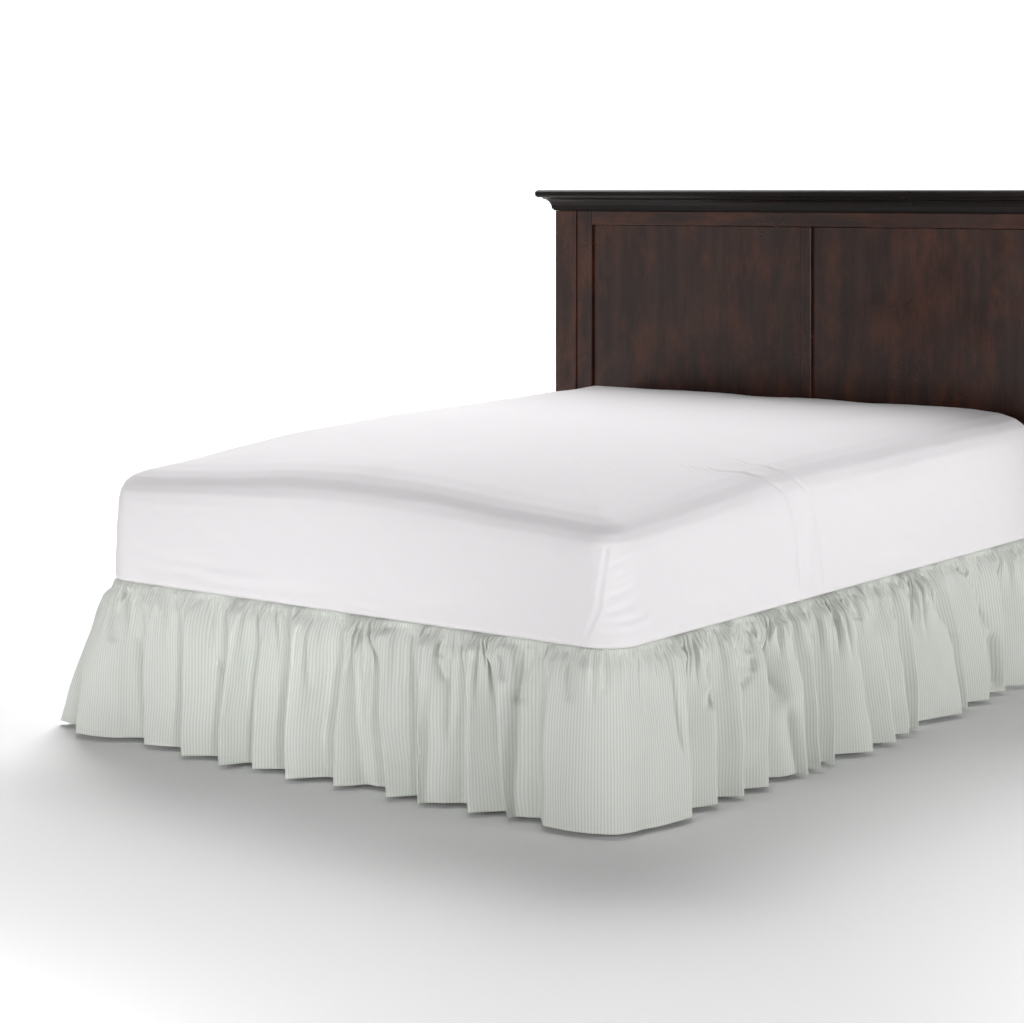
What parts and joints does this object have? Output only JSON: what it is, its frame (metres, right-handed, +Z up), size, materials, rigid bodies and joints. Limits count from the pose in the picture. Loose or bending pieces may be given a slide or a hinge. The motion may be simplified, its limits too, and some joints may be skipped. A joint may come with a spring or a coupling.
{
  "type": "bed skirt on a bed",
  "caption": "Striped cotton bed skirt gathered in flutes round a queen box spring, under a mattress in a white fitted sheet, with a dark panelled headboard.",
  "frame": {"origin": "on the floor, in the middle of the bounding box's footprint", "axes": "+Y from the foot of the bed to its headboard, +X to the bed's right side as its foot faces -Y, +Z up"},
  "size_m": [1.934, 2.2438, 1.342],
  "materials": {
    "striped_cotton": "matte cotton with a fine grey-green and off-white ticking stripe down the drop",
    "plain_cotton": "plain off-white cotton platform",
    "white_sheet": "smooth matte white cotton fitted sheet",
    "ticking": "plain off-white upholstery cloth",
    "black_steel": "black powder coat",
    "dark_wood": "dark espresso stain under satin lacquer"
  },
  "bodies": {
    "root": {"box_spring": "ticking", "frame_cross_foot": "black_steel", "frame_cross_head": "black_steel", "frame_cross_middle": "black_steel", "frame_leg_left_1": "black_steel", "frame_leg_left_2": "black_steel", "frame_leg_left_3": "black_steel", "frame_leg_right_1": "black_steel", "frame_leg_right_2": "black_steel", "frame_leg_right_3": "black_steel", "frame_rail_left": "black_steel", "frame_rail_right": "black_steel", "headboard_bracket_left": "black_steel", "headboard_bracket_right": "black_steel", "headboard_cap": "dark_wood", "headboard_cove": "dark_wood", "headboard_low_rail": "dark_wood", "headboard_mullion": "dark_wood", "headboard_panel_left": "dark_wood", "headboard_panel_right": "dark_wood", "headboard_post_left": "dark_wood", "headboard_post_right": "dark_wood", "headboard_stile_left": "dark_wood", "headboard_stile_right": "dark_wood", "headboard_top_rail": "dark_wood", "mattress": "white_sheet", "ruffle_foot": "striped_cotton", "ruffle_left": "striped_cotton", "ruffle_right": "striped_cotton", "skirt_deck": "plain_cotton"}
  },
  "joints": []
}
